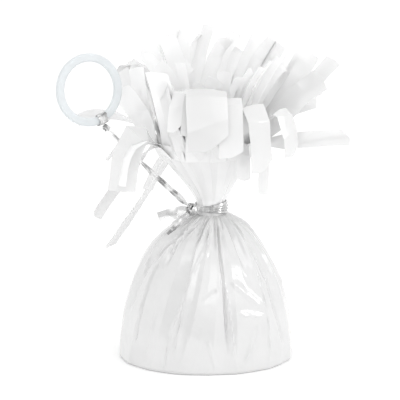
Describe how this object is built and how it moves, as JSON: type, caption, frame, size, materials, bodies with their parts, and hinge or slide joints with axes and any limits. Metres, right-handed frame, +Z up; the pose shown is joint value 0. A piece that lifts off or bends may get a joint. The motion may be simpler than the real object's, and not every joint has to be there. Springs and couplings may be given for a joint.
{
  "type": "balloon weight",
  "caption": "Domed balloon weight wrapped in pearly film that is tied at the neck with foil ribbon, flares into cut strips and carries a ring on a ribbon lead.",
  "frame": {"origin": "centre of the flat base face that the weight stands on", "axes": "+Z up through the neck, -Y towards the viewer of the picture, +X to the right"},
  "size_m": [0.1172, 0.0827, 0.1353],
  "materials": {
    "pearl_film": "pearly gloss film",
    "foil_ribbon": "metallised silver foil ribbon",
    "ring_plastic": "translucent moulded plastic",
    "cast_fill": "rough cast sand and cement",
    "moulded_dome": "thin white moulding",
    "card": "plain card"
  },
  "bodies": {
    "weight": {"weight_fill": "cast_fill", "weight_cup": "moulded_dome", "base_disc": "card", "wrap_base": "pearl_film", "wrap_body": "pearl_film", "neck_gather": "pearl_film", "outer_funnel": "pearl_film", "inner_funnel": "pearl_film", "outer_strip_1": "pearl_film", "outer_strip_2": "pearl_film", "outer_strip_3": "pearl_film", "outer_strip_4": "pearl_film", "outer_strip_5": "pearl_film", "outer_strip_6": "pearl_film", "outer_strip_7": "pearl_film", "outer_strip_8": "pearl_film", "outer_strip_9": "pearl_film", "outer_strip_10": "pearl_film", "outer_strip_11": "pearl_film", "outer_strip_12": "pearl_film", "outer_strip_13": "pearl_film", "outer_strip_14": "pearl_film", "outer_strip_15": "pearl_film", "outer_strip_16": "pearl_film", "outer_strip_17": "pearl_film", "outer_strip_18": "pearl_film", "inner_strip_1": "pearl_film", "inner_strip_2": "pearl_film", "inner_strip_3": "pearl_film", "inner_strip_4": "pearl_film", "inner_strip_5": "pearl_film", "inner_strip_6": "pearl_film", "inner_strip_7": "pearl_film", "inner_strip_8": "pearl_film", "inner_strip_9": "pearl_film", "inner_strip_10": "pearl_film", "inner_strip_11": "pearl_film", "inner_strip_12": "pearl_film", "inner_strip_13": "pearl_film", "inner_strip_14": "pearl_film", "inner_strip_15": "pearl_film", "neck_band": "foil_ribbon", "neck_knot": "foil_ribbon", "wide_tail": "foil_ribbon", "narrow_tail": "foil_ribbon"},
    "lead": {"ribbon_lead": "foil_ribbon"},
    "loop": {"ring_loop": "foil_ribbon", "ring_knot": "foil_ribbon"},
    "ring": {"ring": "ring_plastic"}
  },
  "joints": [
    {"name": "lead_swing", "type": "hinge", "parent": "weight", "child": "lead", "pos_m": [-0.0057, -0.00539, 0.06188], "axis": [-0.304, 0.9527, 0], "range_deg": [-80, 4]},
    {"name": "loop_swing", "type": "hinge", "parent": "lead", "child": "loop", "pos_m": [-0.03975, -0.01626, 0.09713], "axis": [0.7786, 0.4891, 0.3931], "range_deg": [-20, 80]},
    {"name": "ring_spin", "type": "hinge", "parent": "loop", "child": "ring", "pos_m": [-0.04648, -0.01803, 0.11264], "axis": [-0.4872, 0.866, -0.1125], "continuous": true}
  ]
}
